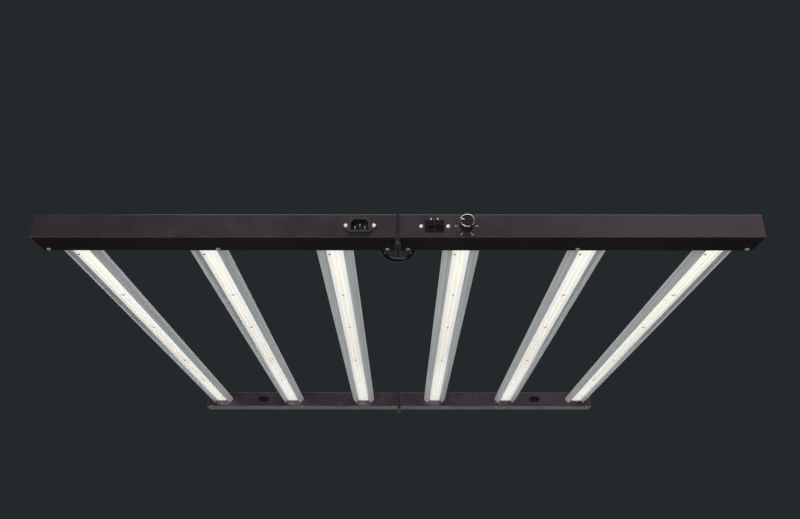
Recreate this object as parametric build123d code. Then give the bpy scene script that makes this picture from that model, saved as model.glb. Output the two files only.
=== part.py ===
from build123d import *
import os
from math import cos, sin, radians, tan

# Folding six-bar LED grow light, in millimetres. X runs along the beams, across the fold.
# Y runs along the light bars, from the control side (-Y) to the plain side (+Y). +Z is up.
# The working coordinates below have x = 0 at the fold, y = 0 midway between the beams and
# z = 0 at the beams' underside. to_row() then moves every piece to the row's origin.

# Overall sizes
LENGTH = 1040.0          # both halves open, along X
DEPTH = 1106.0           # outside to outside of the two beams, along Y
BEAM_DEPTH = 44.0
BEAM_HEIGHT = 37.5
WALL = 2.0
CORNER = 1.5

# Bottom covers and end plates
COVER = 1.8
LIP = 6.0                # inward lip that the cover is screwed to
CAP = 2.0
PORT_R = 3.1             # screw ports in the corners at each end of a beam
PORT_INSET = 5.6
PORT_LONG = 14.0

# Hinges
LEAF = 2.0
LEAF_GAP = 2.0           # daylight between the two leaves when open
LEAF_INSET = 0.4
PIN_R = 2.0
PIN_CLEAR = 0.05
KNUCKLE_R = 4.0
AXIS_DROP = 7.3          # hinge axis below the underside
KNUCKLES = 5
KNUCKLE_GAP = 0.3
SWING_ROOM = 0.6         # from a knuckle to the other leaf

# Light bars
BAR_PITCH = 191.0
BARS_PER_HALF = 3
BAR_HALF = 27.5
BAR_TOP = 22.6
FLANK_Z = 16.0           # where the slanting flank meets the upright side
SHOULDER_WALL = 2.2
LIP_X = 20.0             # outer edge of the lip that holds the lens
LIP_Z = 9.0
MOUTH_X = 17.6           # half the opening between the two lips
FIN_HEIGHT = 4.6
FIN_THICK = 1.6
FIN_PITCH = 6.4
FINS = 7
BOARD_HALF = 12.6
BOARD_Z = 14.3
BOARD = 1.6
LENS_Z = 6.0
LED_ROW_X = 4.1
LED_WIDTH = 2.4
LED_HEIGHT = 0.6
BAR_SCREW_X = 7.5
BAR_SCREW_Z = 18.4
BOARD_SCREW_Y = (115.0, 291.0, 464.0)
END_SCREW_SIDE = 9.0     # the outermost screw of each board is beside the rows
LED_BREAK_Y = (8.0, 112.0, 118.0, 127.0, 130.0, 264.0, 268.0, 287.0, 295.0, 408.0, 411.0, 503.0)

# Screws: raised countersunk M3, and pan head M3 on the bottom covers
SCREW_R = 1.5
SCREW_HOLE_R = 1.55
HEAD_R = 2.7
HEAD_CONE = 1.2
HEAD_DOME = 0.45
SCREW_LENGTH = 9.0
PAN_R = 2.9
PAN_HIGH = 1.3
COVER_SCREW_IN = 5.8     # from the beam's inner face
COVER_SCREW_ENDS = 12.0  # from the outer end, and from the fold

# Mains inlet, on the left half of the control beam
INLET_X = -53.8
PANEL_Z = 18.6
INLET_SCREWS = 40.0
INLET_TIP = 51.0
INLET_W = 31.0
INLET_H = 23.0
INLET_PROUD = 5.0
CAVITY_W = 24.6
CAVITY_H = 16.4
CAVITY_DEEP = 16.0
CAVITY_BEVEL = 4.6
PIN_SPACING = 14.0

# Data ports and dimmer, on the right half of the control beam
PORT_X = 52.2
PORT_SCREWS = 38.5
PORT_W = 26.0
PORT_H = 17.2
PORT_PROUD = 2.6
PORT_MOUTH_W = 9.3
PORT_MOUTH_H = 7.8
PORT_SPACING = 11.4
PORT_DEEP = 12.0
KNOB_X = 97.6
KNOB_R = 9.9
KNOB_LONG = 17.6
RING_LONG = 3.0
KNOB_OFF = 0.7           # gap between the knob and the panel
SHAFT_R = 3.0
SHAFT_CLEAR = 0.05
POINTER_ANGLE = 158.0    # from +X towards +Z, as seen from the front

# Jumper lead between the halves
LEAD_R = 3.4
GLAND_X = 26.0
GLAND_Z = 12.0
GLAND_OUT = 5.0
LEAD_ROUTE = [(26.0, 25.0, 12.0), (13.0, 39.0, 2.6)]  # x, distance from the beam, z

# Hanging points and plugs
INSERT_X = 470.0
INSERT_R = 4.5
THREAD_R = 2.5
INSERT_LONG = 14.0
INSERT_FLANGE_R = 6.5
PLUG_X = 367.0
PLUG_W = 28.0
PLUG_H = 14.0

# Worked out from the sizes above
FRONT = -DEPTH / 2
BACK = DEPTH / 2
NEAR_IN = FRONT + BEAM_DEPTH
FAR_IN = BACK - BEAM_DEPTH
BAR_LONG = FAR_IN - NEAR_IN
END = LENGTH / 2
LEAF_IN = LEAF_GAP / 2
LEAF_OUT = LEAF_IN + LEAF
BOX_END = END - CAP
BARREL_Y = BEAM_DEPTH / KNUCKLES
PORT_XS = (PORT_X - PORT_SPACING / 2, PORT_X + PORT_SPACING / 2)
KNOB_FRONT = FRONT - KNOB_OFF - KNOB_LONG
ORIGIN_Y = -(KNOB_FRONT + BACK) / 2
ORIGIN_Z = AXIS_DROP + KNUCKLE_R


def to_row(shape):
    return Pos(0, ORIGIN_Y, ORIGIN_Z) * shape


def save(name, *solids):
    pieces = [s for shape in solids for s in shape.solids()]
    whole = pieces[0] if len(pieces) == 1 else Compound(children=pieces)
    export_step(to_row(whole), f"parts/{name}.step")


def block(x, y, z):
    """A box between two limits on each axis."""
    size = Box(x[1] - x[0], y[1] - y[0], z[1] - z[0])
    return Pos((x[0] + x[1]) / 2, (y[0] + y[1]) / 2, (z[0] + z[1]) / 2) * size


def rod(start, direction, r, length):
    """A cylinder that starts at a point and runs along a direction."""
    plane = Plane(origin=start, z_dir=direction)
    return plane * Pos(0, 0, length / 2) * Cylinder(r, length)


def flip_x(shape):
    return mirror(shape, about=Plane.YZ)


def flip_y(shape):
    return mirror(shape, about=Plane.XZ)


def along_x(outline, x0, x1):
    """Extrudes an outline drawn as (y, z) from x0 to x1."""
    return Pos(x0, 0, 0) * extrude(Plane.YZ * outline, x1 - x0)


def along_y(outline, y0, y1):
    """Extrudes an outline drawn as (x, z) from y0 to y1."""
    plane = Plane(origin=(0, y0, 0), x_dir=(1, 0, 0), z_dir=(0, -1, 0))
    return extrude(plane * outline, -(y1 - y0))


# ---- screws ----

def screw():
    """A raised countersunk screw, head up, the panel's surface at z = 0."""
    with BuildPart() as p:
        with BuildSketch(Plane.XZ):
            with BuildLine():
                Polyline((0, HEAD_DOME), (0, -SCREW_LENGTH), (SCREW_R, -SCREW_LENGTH))
                Line((SCREW_R, -SCREW_LENGTH), (SCREW_R, -HEAD_CONE))
                Line((SCREW_R, -HEAD_CONE), (HEAD_R, 0))
                ThreePointArc((HEAD_R, 0), (HEAD_R * 0.6, HEAD_DOME * 0.72), (0, HEAD_DOME))
            make_face()
        revolve(axis=Axis.Z)
    return p.part - cross_slot(HEAD_DOME)


def pan_screw():
    """A pan head screw, head up, the panel's surface at z = 0."""
    shoulder = (PAN_R, PAN_HIGH * 0.5)
    with BuildPart() as p:
        with BuildSketch(Plane.XZ):
            with BuildLine():
                Polyline((0, PAN_HIGH), (0, -SCREW_LENGTH), (SCREW_R, -SCREW_LENGTH))
                Polyline((SCREW_R, -SCREW_LENGTH), (SCREW_R, 0), (PAN_R, 0), shoulder)
                ThreePointArc(shoulder, (PAN_R * 0.68, PAN_HIGH * 0.9), (0, PAN_HIGH))
            make_face()
        revolve(axis=Axis.Z)
    return p.part - cross_slot(PAN_HIGH)


def cross_slot(top):
    return Pos(0, 0, top) * (Box(2.8, 0.6, 1.4) + Box(0.6, 2.8, 1.4))


def screw_hole():
    cone = Pos(0, 0, -HEAD_CONE / 2) * Cone(SCREW_HOLE_R, HEAD_R + 0.05, HEAD_CONE)
    lead = Pos(0, 0, 0.5) * Cylinder(HEAD_R + 0.05, 1.0)
    return cone + lead + plain_hole()


def plain_hole():
    deep = SCREW_LENGTH + 1
    return Pos(0, 0, (1 - deep) / 2) * Cylinder(SCREW_HOLE_R, deep + 1)


def ports_yz():
    """The four screw ports of a beam on the control side, as (y, z)."""
    ys = (FRONT + PORT_INSET, NEAR_IN - PORT_INSET)
    zs = (COVER + PORT_INSET + 0.4, BEAM_HEIGHT - PORT_INSET)
    return [(y, z) for y in ys for z in zs]


def cover_screw_places():
    middle = (END - COVER_SCREW_ENDS + LEAF_OUT + COVER_SCREW_ENDS) / 2
    xs = (END - COVER_SCREW_ENDS, middle, LEAF_OUT + COVER_SCREW_ENDS)
    return [Plane((-x, NEAR_IN - COVER_SCREW_IN, 0), z_dir=(0, 0, -1)) for x in xs]


def cap_screw_places():
    return [Plane((-END, y, z), z_dir=(-1, 0, 0)) for y, z in ports_yz()]


def leaf_screw_places():
    return [Plane((-LEAF_IN, y, z), z_dir=(1, 0, 0)) for y, z in ports_yz()]


def bar_xs():
    """Bar centres of the left half, from the outermost to the one beside the fold."""
    return [-(BAR_PITCH * (i + 0.5)) for i in reversed(range(BARS_PER_HALF))]


def bar_screw_places():
    y = NEAR_IN - WALL
    return [
        Plane((x + side * BAR_SCREW_X, y, BAR_SCREW_Z), z_dir=(0, -1, 0))
        for x in bar_xs()
        for side in (-1, 1)
    ]


def at(places, one):
    return [place.location * one for place in places]


def drill(body, places, hole=None):
    hole = hole or screw_hole()
    for place in places:
        body -= place.location * hole
    return body


# ---- beams: left half on the control side, mirrored for the other three ----

def beam_profile():
    """Inverted channel with inward lips, drawn as (y, z)."""
    ym = (FRONT + NEAR_IN) / 2
    high = BEAM_HEIGHT - COVER
    outer = Pos(ym, COVER + high / 2) * Rectangle(BEAM_DEPTH, high)
    top = outer.vertices().group_by(Axis.Y)[-1]
    outer = fillet(top, CORNER)
    room_high = high - 2 * WALL
    room = Pos(ym, COVER + WALL + room_high / 2) * Rectangle(BEAM_DEPTH - 2 * WALL, room_high)
    mouth = Pos(ym, COVER + WALL / 2) * Rectangle(BEAM_DEPTH - 2 * (WALL + LIP), WALL + 0.2)
    return outer - room - mouth


def port_profile():
    """The four screw ports and the webs that tie them to the walls, as (y, z)."""
    ym = (FRONT + NEAR_IN) / 2
    web = PORT_INSET - WALL
    profile = Sketch()
    for y, z in ports_yz():
        side = 1 if y > ym else -1
        up = 1 if z > BEAM_HEIGHT / 2 else -1
        profile += Pos(y + side * web / 2, z) * Rectangle(web + 0.4, 1.6)
        profile += Pos(y, z + up * web / 2) * Rectangle(1.6, web + 0.4)
        profile += Pos(y, z) * Circle(PORT_R)
    return profile


def beam_left():
    body = along_x(beam_profile(), -BOX_END, -LEAF_OUT)
    body += along_x(port_profile(), -BOX_END, PORT_LONG - BOX_END)
    body += along_x(port_profile(), -LEAF_OUT - PORT_LONG, -LEAF_OUT)
    for y, z in ports_yz():
        body -= rod((-BOX_END - 1, y, z), (1, 0, 0), SCREW_HOLE_R, PORT_LONG + 2)
        body -= rod((-LEAF_OUT + 1, y, z), (-1, 0, 0), SCREW_HOLE_R, PORT_LONG + 2)
    body = drill(body, cover_screw_places() + bar_screw_places())
    for x in bar_xs():
        body -= rod((x, NEAR_IN - WALL - 1, PANEL_Z), (0, 1, 0), 2.2, WALL + 2)
    top = BEAM_HEIGHT - WALL - 1
    ym = (FRONT + NEAR_IN) / 2
    return body - rod((-INSERT_X, ym, top), (0, 0, 1), INSERT_R, WALL + 2)


def cover_left():
    plate = block((-BOX_END, -LEAF_OUT), (FRONT, NEAR_IN), (0, COVER))
    long_edges = plate.edges().filter_by(Axis.X).group_by(Axis.Z)[0]
    plate = fillet(long_edges, 0.8)
    return drill(plate, cover_screw_places(), plain_hole())


def cap_left():
    plate = block((-END, -BOX_END), (FRONT, NEAR_IN), (0, BEAM_HEIGHT))
    plate = fillet(plate.edges().filter_by(Axis.X), CORNER)
    plate = fillet(plate.faces().sort_by(Axis.X)[0].edges(), 0.7)
    return drill(plate, cap_screw_places())


# ---- hinges ----

def knuckle_span(i):
    y0 = FRONT + i * BARREL_Y
    return y0 + KNUCKLE_GAP / 2, y0 + BARREL_Y - KNUCKLE_GAP / 2


def leaf(side, own, bore):
    """A hinge leaf that is also the beam's end plate. side is -1 left, +1 right."""
    x = sorted((side * LEAF_IN, side * LEAF_OUT))
    y = (FRONT + LEAF_INSET, NEAR_IN - LEAF_INSET)
    low = -AXIS_DROP + KNUCKLE_R + SWING_ROOM
    plate = block(x, y, (low, BEAM_HEIGHT - LEAF_INSET))
    for i in own:
        y0, y1 = knuckle_span(i)
        plate += block(x, (y0, y1), (-AXIS_DROP, low + 1))
        plate += rod((0, y0, -AXIS_DROP), (0, 1, 0), KNUCKLE_R, y1 - y0)
    plate -= rod((0, FRONT - 1, -AXIS_DROP), (0, 1, 0), bore, BEAM_DEPTH + 2)
    for i in set(range(KNUCKLES)) - set(own):
        y0, y1 = knuckle_span(i)
        y0 = max(y0 - KNUCKLE_GAP, FRONT)
        room = KNUCKLE_R + SWING_ROOM
        plate -= rod((0, y0, -AXIS_DROP), (0, 1, 0), room, y1 - y0 + KNUCKLE_GAP)
    return plate


def leaf_left():
    return drill(leaf(-1, (0, 2, 4), PIN_R), leaf_screw_places())


def leaf_right():
    places = [Plane((LEAF_IN, y, z), z_dir=(-1, 0, 0)) for y, z in ports_yz()]
    return drill(leaf(1, (1, 3), PIN_R + PIN_CLEAR), places)


def hinge_pin():
    body = rod((0, FRONT + 0.6, -AXIS_DROP), (0, 1, 0), PIN_R, BEAM_DEPTH - 1.2)
    return chamfer(body.edges(), 0.4)


# ---- light bars ----

def half_outline(points):
    """A closed outline that is the same on both sides of x = 0."""
    other = [(-x, z) for x, z in reversed(points) if x > 0]
    return make_face(Polyline(*points, *other, close=True))


def bar_profile():
    """The aluminium bar seen along its length, as (x, z)."""
    right = [
        (0, BAR_TOP),
        (BAR_HALF - 1.5, BAR_TOP),
        (BAR_HALF, BAR_TOP - 1.5),
        (BAR_HALF, FLANK_Z),
        (LIP_X, LIP_Z),
        (MOUTH_X, LIP_Z),
        (MOUTH_X, LIP_Z + 1.5),
        (LIP_X - 0.3, LIP_Z + 1.5),
        (LIP_X - 0.3, LIP_Z + 3.0),
        (BOARD_HALF + 0.4, BOARD_Z + 0.3),
        (BOARD_HALF + 0.4, BOARD_Z + BOARD),
        (0, BOARD_Z + BOARD),
    ]
    profile = half_outline(right)
    for i in range(FINS):
        x = (i - (FINS - 1) / 2) * FIN_PITCH
        profile += Pos(x, BAR_TOP + FIN_HEIGHT / 2) * Rectangle(FIN_THICK, FIN_HEIGHT)
    for x in (-BAR_SCREW_X, BAR_SCREW_X):
        profile -= Pos(x, BAR_SCREW_Z) * Circle(SCREW_HOLE_R)
    profile -= Pos(0, BAR_SCREW_Z + 0.5) * Rectangle(8.0, 3.4)
    return profile - shoulder_hollows() - flank_grooves()


def shoulder_hollows():
    """The closed hollow inside each shoulder, over the slope beside the boards."""
    inner = BOARD_HALF + 4.4
    outer = BAR_HALF - SHOULDER_WALL
    top = BAR_TOP - 2.5
    upright = [(inner, top), (outer, top), (outer, FLANK_Z + 0.9)]
    slope = [(LIP_X + 2.2, BOARD_Z - 0.3), (inner, BOARD_Z + 2.0)]
    one = make_face(Polyline(*upright, *slope, close=True))
    return one + mirror(one, about=Plane.YZ)


def flank_grooves():
    """Two fine grooves along each slanting flank."""
    cut = Sketch()
    for share in (0.36, 0.68):
        x = LIP_X + share * (BAR_HALF - LIP_X)
        z = LIP_Z + share * (FLANK_Z - LIP_Z)
        cut += Pos(x, z) * Circle(0.45)
        cut += Pos(-x, z) * Circle(0.45)
    return cut


def lens_profile():
    """Clear cover between the two lips: a shallow arc with a foot on each side."""
    foot_z = LIP_Z + 1.6
    foot_top = foot_z + 1.1
    side = MOUTH_X - 0.15
    toe = side + 1.9
    turn = 12.5
    inner = side - 1.3
    turn_in = turn - 1.1
    high = LENS_Z + 2.2
    with BuildSketch() as s:
        with BuildLine():
            ThreePointArc((-turn, LENS_Z + 0.9), (0, LENS_Z), (turn, LENS_Z + 0.9))
            ThreePointArc((turn, LENS_Z + 0.9), (side - 1.0, LENS_Z + 2.5), (side, foot_z))
            Polyline((side, foot_z), (toe, foot_z), (toe, foot_top), (inner, foot_top))
            ThreePointArc((inner, foot_top), (inner - 1.2, LENS_Z + 3.4), (turn_in, high))
            ThreePointArc((turn_in, high), (0, LENS_Z + 1.3), (-turn_in, high))
            ThreePointArc((-turn_in, high), (1.2 - inner, LENS_Z + 3.4), (-inner, foot_top))
            Polyline((-inner, foot_top), (-toe, foot_top), (-toe, foot_z), (-side, foot_z))
            ThreePointArc((-side, foot_z), (1.0 - side, LENS_Z + 2.5), (-turn, LENS_Z + 0.9))
        make_face()
    return s.sketch


def bar_body(x):
    return Pos(x, 0, 0) * along_y(bar_profile(), NEAR_IN, FAR_IN)


def bar_lens(x):
    return Pos(x, 0, 0) * along_y(lens_profile(), NEAR_IN + 0.2, FAR_IN - 0.2)


def board_screw_places(x):
    """(x, y) of the six screws on a bar; the far board is the near one turned round."""
    places = []
    for y in BOARD_SCREW_Y:
        aside = END_SCREW_SIDE if y == BOARD_SCREW_Y[-1] else 0.0
        places += [(x - aside, -y), (x + aside, y)]
    return places


def bar_boards(x):
    """Two boards end to end, with a hole for each screw."""
    gap = 0.3
    z = (BOARD_Z, BOARD_Z + BOARD)
    near = block((x - BOARD_HALF, x + BOARD_HALF), (NEAR_IN + 4, -gap), z)
    far = block((x - BOARD_HALF, x + BOARD_HALF), (gap, FAR_IN - 4), z)
    for sx, sy in board_screw_places(x):
        hole = rod((sx, sy, BOARD_Z - 1), (0, 0, 1), 1.3, BOARD + 2)
        near -= hole
        far -= hole
    return near, far


def board_screws(x):
    """A pan head on each board screw, its thread through the board."""
    made = []
    for sx, sy in board_screw_places(x):
        head = rod((sx, sy, BOARD_Z), (0, 0, -1), 1.9, 0.9)
        head = fillet(head.edges().sort_by(Axis.Z)[0], 0.5)
        made.append(head + rod((sx, sy, BOARD_Z - 0.1), (0, 0, 1), 1.2, BOARD))
    return made


def led_rows(x):
    """Two rows of light emitters, broken where the screws and connectors are."""
    made = []
    spans = list(zip(LED_BREAK_Y[0::2], LED_BREAK_Y[1::2]))
    for side in (-1, 1):
        centre = x + side * LED_ROW_X
        width = (centre - LED_WIDTH / 2, centre + LED_WIDTH / 2)
        for y0, y1 in spans:
            for y in ((y0, y1), (-y1, -y0)):
                made.append(block(width, y, (BOARD_Z - LED_HEIGHT, BOARD_Z)))
    return made


# ---- mains inlet ----

def inlet_flange():
    """Flange outline as (x, z): straight slopes from the body to round tips."""
    tip = INLET_TIP / 2 - 4.0
    hull = make_hull(
        (Pos(INLET_X - tip, PANEL_Z) * Circle(4.0)).edges()
        + (Pos(INLET_X + tip, PANEL_Z) * Circle(4.0)).edges()
        + (Pos(INLET_X, PANEL_Z) * Rectangle(INLET_W - 4, INLET_H)).edges()
    )
    return hull


def inlet_mouth(grow=0.0):
    """Cavity outline as (x, z), with its two upper corners cut off."""
    w = CAVITY_W / 2 + grow
    h = CAVITY_H / 2 + grow
    points = [(w, h - CAVITY_BEVEL), (w - CAVITY_BEVEL, h), (-w + CAVITY_BEVEL, h)]
    points += [(-w, h - CAVITY_BEVEL), (-w, -h), (w, -h)]
    return Pos(INLET_X, PANEL_Z) * make_face(Polyline(*points, close=True))


def inlet_screw_places():
    y = FRONT - 2.0
    xs = (INLET_X - INLET_SCREWS / 2, INLET_X + INLET_SCREWS / 2)
    return [Plane((x, y, PANEL_Z), z_dir=(0, -1, 0)) for x in xs]


def inlet_body():
    mouth = FRONT - INLET_PROUD
    flange = along_y(inlet_flange(), FRONT - 2.0, FRONT)
    nose = along_y(Pos(INLET_X, PANEL_Z) * RectangleRounded(INLET_W, INLET_H, 2.0), mouth, FRONT)
    shell = along_y(inlet_mouth(1.8), FRONT, mouth + CAVITY_DEEP + 2.0)
    body = flange + nose + shell
    body -= along_y(inlet_mouth(), mouth - 1, mouth + CAVITY_DEEP)
    notch_z = PANEL_Z - CAVITY_H / 2
    body -= block((INLET_X - 0.7, INLET_X + 0.7), (mouth - 1, FRONT), (notch_z - 1.0, notch_z + 1))
    for x, z in inlet_pin_places():
        y = mouth + CAVITY_DEEP - 1
        body -= block((x - 1.0, x + 1.0), (y, y + 6), (z - 2.0, z + 2.0))
    return drill(body, inlet_screw_places())


def inlet_pin_places():
    side = PIN_SPACING / 2
    return [(INLET_X, PANEL_Z + 2), (INLET_X - side, PANEL_Z - 2), (INLET_X + side, PANEL_Z - 2)]


def inlet_pins():
    y0 = FRONT - INLET_PROUD + 5.5
    y1 = FRONT - INLET_PROUD + CAVITY_DEEP + 9
    made = []
    for x, z in inlet_pin_places():
        blade = block((x - 1.0, x + 1.0), (y0, y1), (z - 2.0, z + 2.0))
        made.append(chamfer(blade.faces().sort_by(Axis.Y)[0].edges(), 0.5))
    return made


# ---- data ports and dimmer ----

def port_screw_places():
    xs = (PORT_X - PORT_SCREWS / 2, PORT_X + PORT_SCREWS / 2)
    return [Plane((x, FRONT, PANEL_Z - 0.4), z_dir=(0, -1, 0)) for x in xs]


def port_block():
    """Twin jack: one moulded block with two mouths, each with a latch slot below."""
    y0 = FRONT - PORT_PROUD
    z0 = PANEL_Z - 0.4 - PORT_H / 2
    z1 = z0 + PORT_H
    w = PORT_W / 2
    body = block((PORT_X - w, PORT_X + w), (y0, y0 + 18), (z0, z1))
    body = chamfer(body.faces().sort_by(Axis.Y)[0].edges(), 0.5)
    inside = FRONT + WALL
    body += block((PORT_X - 24, PORT_X + 24), (inside, inside + 2.4), (z0 + 2, z1 - 2))
    mouth_z = z0 + 3.6
    for x in PORT_XS:
        m = PORT_MOUTH_W / 2
        body -= block((x - m, x + m), (y0 - 1, y0 + PORT_DEEP), (mouth_z, mouth_z + PORT_MOUTH_H))
        body -= block((x - 2.6, x + 2.6), (y0 - 1, y0 + PORT_DEEP), (mouth_z - 1.4, mouth_z + 1))
        body -= block((x - 1.6, x + 1.6), (y0 - 1, y0 + PORT_DEEP), (mouth_z - 2.4, mouth_z))
        for side in (-2.6, 2.6):
            window = block((x + side - 1.4, x + side + 1.4), (y0 - 1, y0 + 4), (z0 + 13, z0 + 15.4))
            body -= window
    return drill(body, port_screw_places())


def port_contacts():
    made = []
    top = PANEL_Z - 0.4 - PORT_H / 2 + 3.6 + PORT_MOUTH_H
    y0 = FRONT - PORT_PROUD + 2.0
    for x in PORT_XS:
        for i in range(8):
            cx = x + (i - 3.5) * 1.02
            made.append(block((cx - 0.22, cx + 0.22), (y0, y0 + 9), (top - 0.9, top)))
    return made


def dimmer_pot():
    """Potentiometer behind the panel, with a threaded bush through it."""
    half = 8.5
    inside = FRONT + WALL
    body = block(
        (KNOB_X - half, KNOB_X + half), (inside, inside + 9.5), (PANEL_Z - half, PANEL_Z + half)
    )
    body = chamfer(body.edges().filter_by(Axis.Y), 1.0)
    body += rod((KNOB_X, FRONT - 0.3, PANEL_Z), (0, 1, 0), 3.9, WALL + 1)
    return body - rod((KNOB_X, FRONT - 1, PANEL_Z), (0, 1, 0), SHAFT_R + SHAFT_CLEAR, 10.0)


def knob_shaft():
    start = FRONT - KNOB_OFF - 11.0
    return rod((KNOB_X, start, PANEL_Z), (0, 1, 0), SHAFT_R, FRONT + 8.4 - start)


def knob_body():
    """Knob with a fluted grip, a chrome ring seat at the front and a pointer groove."""
    back = FRONT - KNOB_OFF
    grip = rod((KNOB_X, back, PANEL_Z), (0, -1, 0), KNOB_R - 0.7, KNOB_LONG - RING_LONG)
    nose = rod((KNOB_X, back, PANEL_Z), (0, -1, 0), KNOB_R - 1.5, KNOB_LONG - 0.5)
    body = grip + nose
    body -= rod((KNOB_X, back + 1, PANEL_Z), (0, -1, 0), SHAFT_R, 12.0)
    for i in range(24):
        turn = radians(15 * i)
        x = KNOB_X + KNOB_R * cos(turn)
        z = PANEL_Z + KNOB_R * sin(turn)
        body -= rod((x, back + 1, z), (0, -1, 0), 1.0, KNOB_LONG - 4.0)
    turn = radians(POINTER_ANGLE)
    middle = (KNOB_X + 6.3 * cos(turn), KNOB_FRONT + 0.5, PANEL_Z + 6.3 * sin(turn))
    groove = Location(middle, (0, -POINTER_ANGLE, 0)) * Box(3.6, 0.5, 0.9)
    return body - groove


def knob_ring():
    y0 = KNOB_FRONT
    ring = rod((KNOB_X, y0, PANEL_Z), (0, 1, 0), KNOB_R, RING_LONG)
    ring = fillet(ring.edges().filter_by(GeomType.CIRCLE), 0.6)
    return ring - rod((KNOB_X, y0 - 1, PANEL_Z), (0, 1, 0), KNOB_R - 1.5, 6)


def control_board():
    """Circuit board behind the ports, upright, with two chips and a connector."""
    y = FRONT + 17.2
    board = block((28.0, 122.0), (y, y + 1.6), (PANEL_Z - 10.5, PANEL_Z + 10.5))
    board += block((66, 76), (y + 1.6, y + 3.4), (PANEL_Z - 5, PANEL_Z + 5))
    board += block((84, 90), (y + 1.6, y + 3.2), (PANEL_Z - 3, PANEL_Z + 3))
    return board + block((104, 118), (y + 1.6, y + 8.0), (PANEL_Z - 3, PANEL_Z + 3))


# ---- inside the beams ----

def driver_left():
    """Slim potted driver with a mounting ear at each end."""
    ym = (FRONT + NEAR_IN) / 2
    case = block((-430, -180), (ym - 13, ym + 13), (6.5, 29.5))
    case = fillet(case.edges().filter_by(Axis.X), 2.0)
    ears = block((-440, -170), (ym - 9, ym + 9), (6.5, 8.5))
    return case + ears


def harness_left():
    """Leads from the driver along the beam to the bars' openings."""
    z = PANEL_Z
    y = NEAR_IN - 6.0
    made = []
    for x in bar_xs():
        inner = x + (12 if x < -300 else 14)
        path = FilletPolyline((inner + 14, y, z), (x, y, z), (x, NEAR_IN + 1, z), radius=3.0)
        start = path @ 0
        made.append(sweep(Plane(start, z_dir=path % 0) * Circle(1.5), path))
    return made


# ---- glands, lead, plugs and hanging points ----

def gland_left():
    ends = NEAR_IN - 6
    nut = rod((-GLAND_X, NEAR_IN, GLAND_Z), (0, 1, 0), 6.5, GLAND_OUT)
    nut = fillet(nut.edges().sort_by(Axis.Y)[-1], 2.0)
    body = nut + rod((-GLAND_X, ends, GLAND_Z), (0, 1, 0), 4.6, NEAR_IN - ends)
    return body - rod((-GLAND_X, ends - 1, GLAND_Z), (0, 1, 0), LEAD_R - 0.4, NEAR_IN - ends + 1)


def gland_hole(body):
    return body - rod((-GLAND_X, NEAR_IN - WALL - 1, GLAND_Z), (0, 1, 0), 4.6, WALL + 2)


def lead_points():
    """The lead's route from the left gland to the right one."""
    face = NEAR_IN + GLAND_OUT
    left = [(-GLAND_X, face, GLAND_Z)]
    left += [(-x, NEAR_IN + out, z) for x, out, z in LEAD_ROUTE]
    return left + [(-x, y, z) for x, y, z in reversed(left)]


def corner_radius(points, i):
    """0.45 of the shorter run, over the tangent of half the turn."""
    before = Vector(*points[i]) - Vector(*points[i - 1])
    after = Vector(*points[i + 1]) - Vector(*points[i])
    turn = before.get_angle(after)
    return 0.45 * min(before.length, after.length) / tan(radians(turn / 2))


def jumper_lead():
    points = lead_points()
    radii = [corner_radius(points, i) for i in range(1, len(points) - 1)]
    path = FilletPolyline(*points, radius=radii)
    tube = sweep(Plane(path @ 0, z_dir=path % 0) * Circle(LEAD_R), path)
    print("lead radii", [round(r, 1) for r in radii], "length", round(path.length, 1))
    return tube


def plug_left():
    """Oval rubber plug in the plain beam's inner face, dished in the middle."""
    place = Pos(-PLUG_X, PANEL_Z)
    rim = along_y(place * SlotOverall(PLUG_W, PLUG_H), FAR_IN - 1.2, FAR_IN)
    rim = fillet(rim.faces().sort_by(Axis.Y)[0].edges(), 0.5)
    neck = along_y(place * SlotOverall(PLUG_W - 3, PLUG_H - 3), FAR_IN, FAR_IN + WALL)
    bead = along_y(place * SlotOverall(PLUG_W - 1, PLUG_H - 1), FAR_IN + WALL, FAR_IN + WALL + 1.2)
    dish = along_y(place * SlotOverall(PLUG_W - 6, PLUG_H - 6), FAR_IN - 2, FAR_IN + 1.5)
    return rim + neck + bead - dish


def insert_left(y):
    """Threaded rivet insert for a hanger, flange on the beam's top."""
    top = BEAM_HEIGHT + 1.0
    flange = rod((-INSERT_X, y, BEAM_HEIGHT), (0, 0, 1), INSERT_FLANGE_R, 1.0)
    body = flange + rod((-INSERT_X, y, top - INSERT_LONG), (0, 0, 1), INSERT_R, INSERT_LONG)
    return body - rod((-INSERT_X, y, top - INSERT_LONG - 1), (0, 0, 1), THREAD_R, INSERT_LONG + 2)


# ---- putting it together ----

def save_beams():
    plain = beam_left()
    near_left = gland_hole(plain)
    opening = Pos(INLET_X, PANEL_Z) * Rectangle(CAVITY_W + 4.4, CAVITY_H + 4.4)
    right = flip_x(near_left)
    near_left -= along_y(opening, FRONT - 1, FRONT + WALL + 1)
    save("near_beam_left", drill(near_left, inlet_screw_places()))

    window = Pos(PORT_X, PANEL_Z - 0.4) * Rectangle(PORT_W + 0.4, PORT_H + 0.4)
    right -= along_y(window, FRONT - 1, FRONT + WALL)
    right -= rod((KNOB_X, FRONT - 1, PANEL_Z), (0, 1, 0), 3.9, WALL + 2)
    save("near_beam_right", drill(right, port_screw_places()))

    far = flip_y(plain)
    slot = Pos(-PLUG_X, PANEL_Z) * SlotOverall(PLUG_W - 3, PLUG_H - 3)
    far -= along_y(slot, FAR_IN - 1, FAR_IN + WALL + 1)
    save("far_beam_left", far)
    save("far_beam_right", flip_x(far))


def save_covers_and_caps():
    cover = cover_left()
    save("near_cover_left", cover)
    save("near_cover_right", flip_x(cover))
    save("far_cover_left", flip_y(cover))
    save("far_cover_right", flip_x(flip_y(cover)))
    cap = cap_left()
    save("end_caps_left", cap, flip_y(cap))
    save("end_caps_right", flip_x(cap), flip_x(flip_y(cap)))


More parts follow.
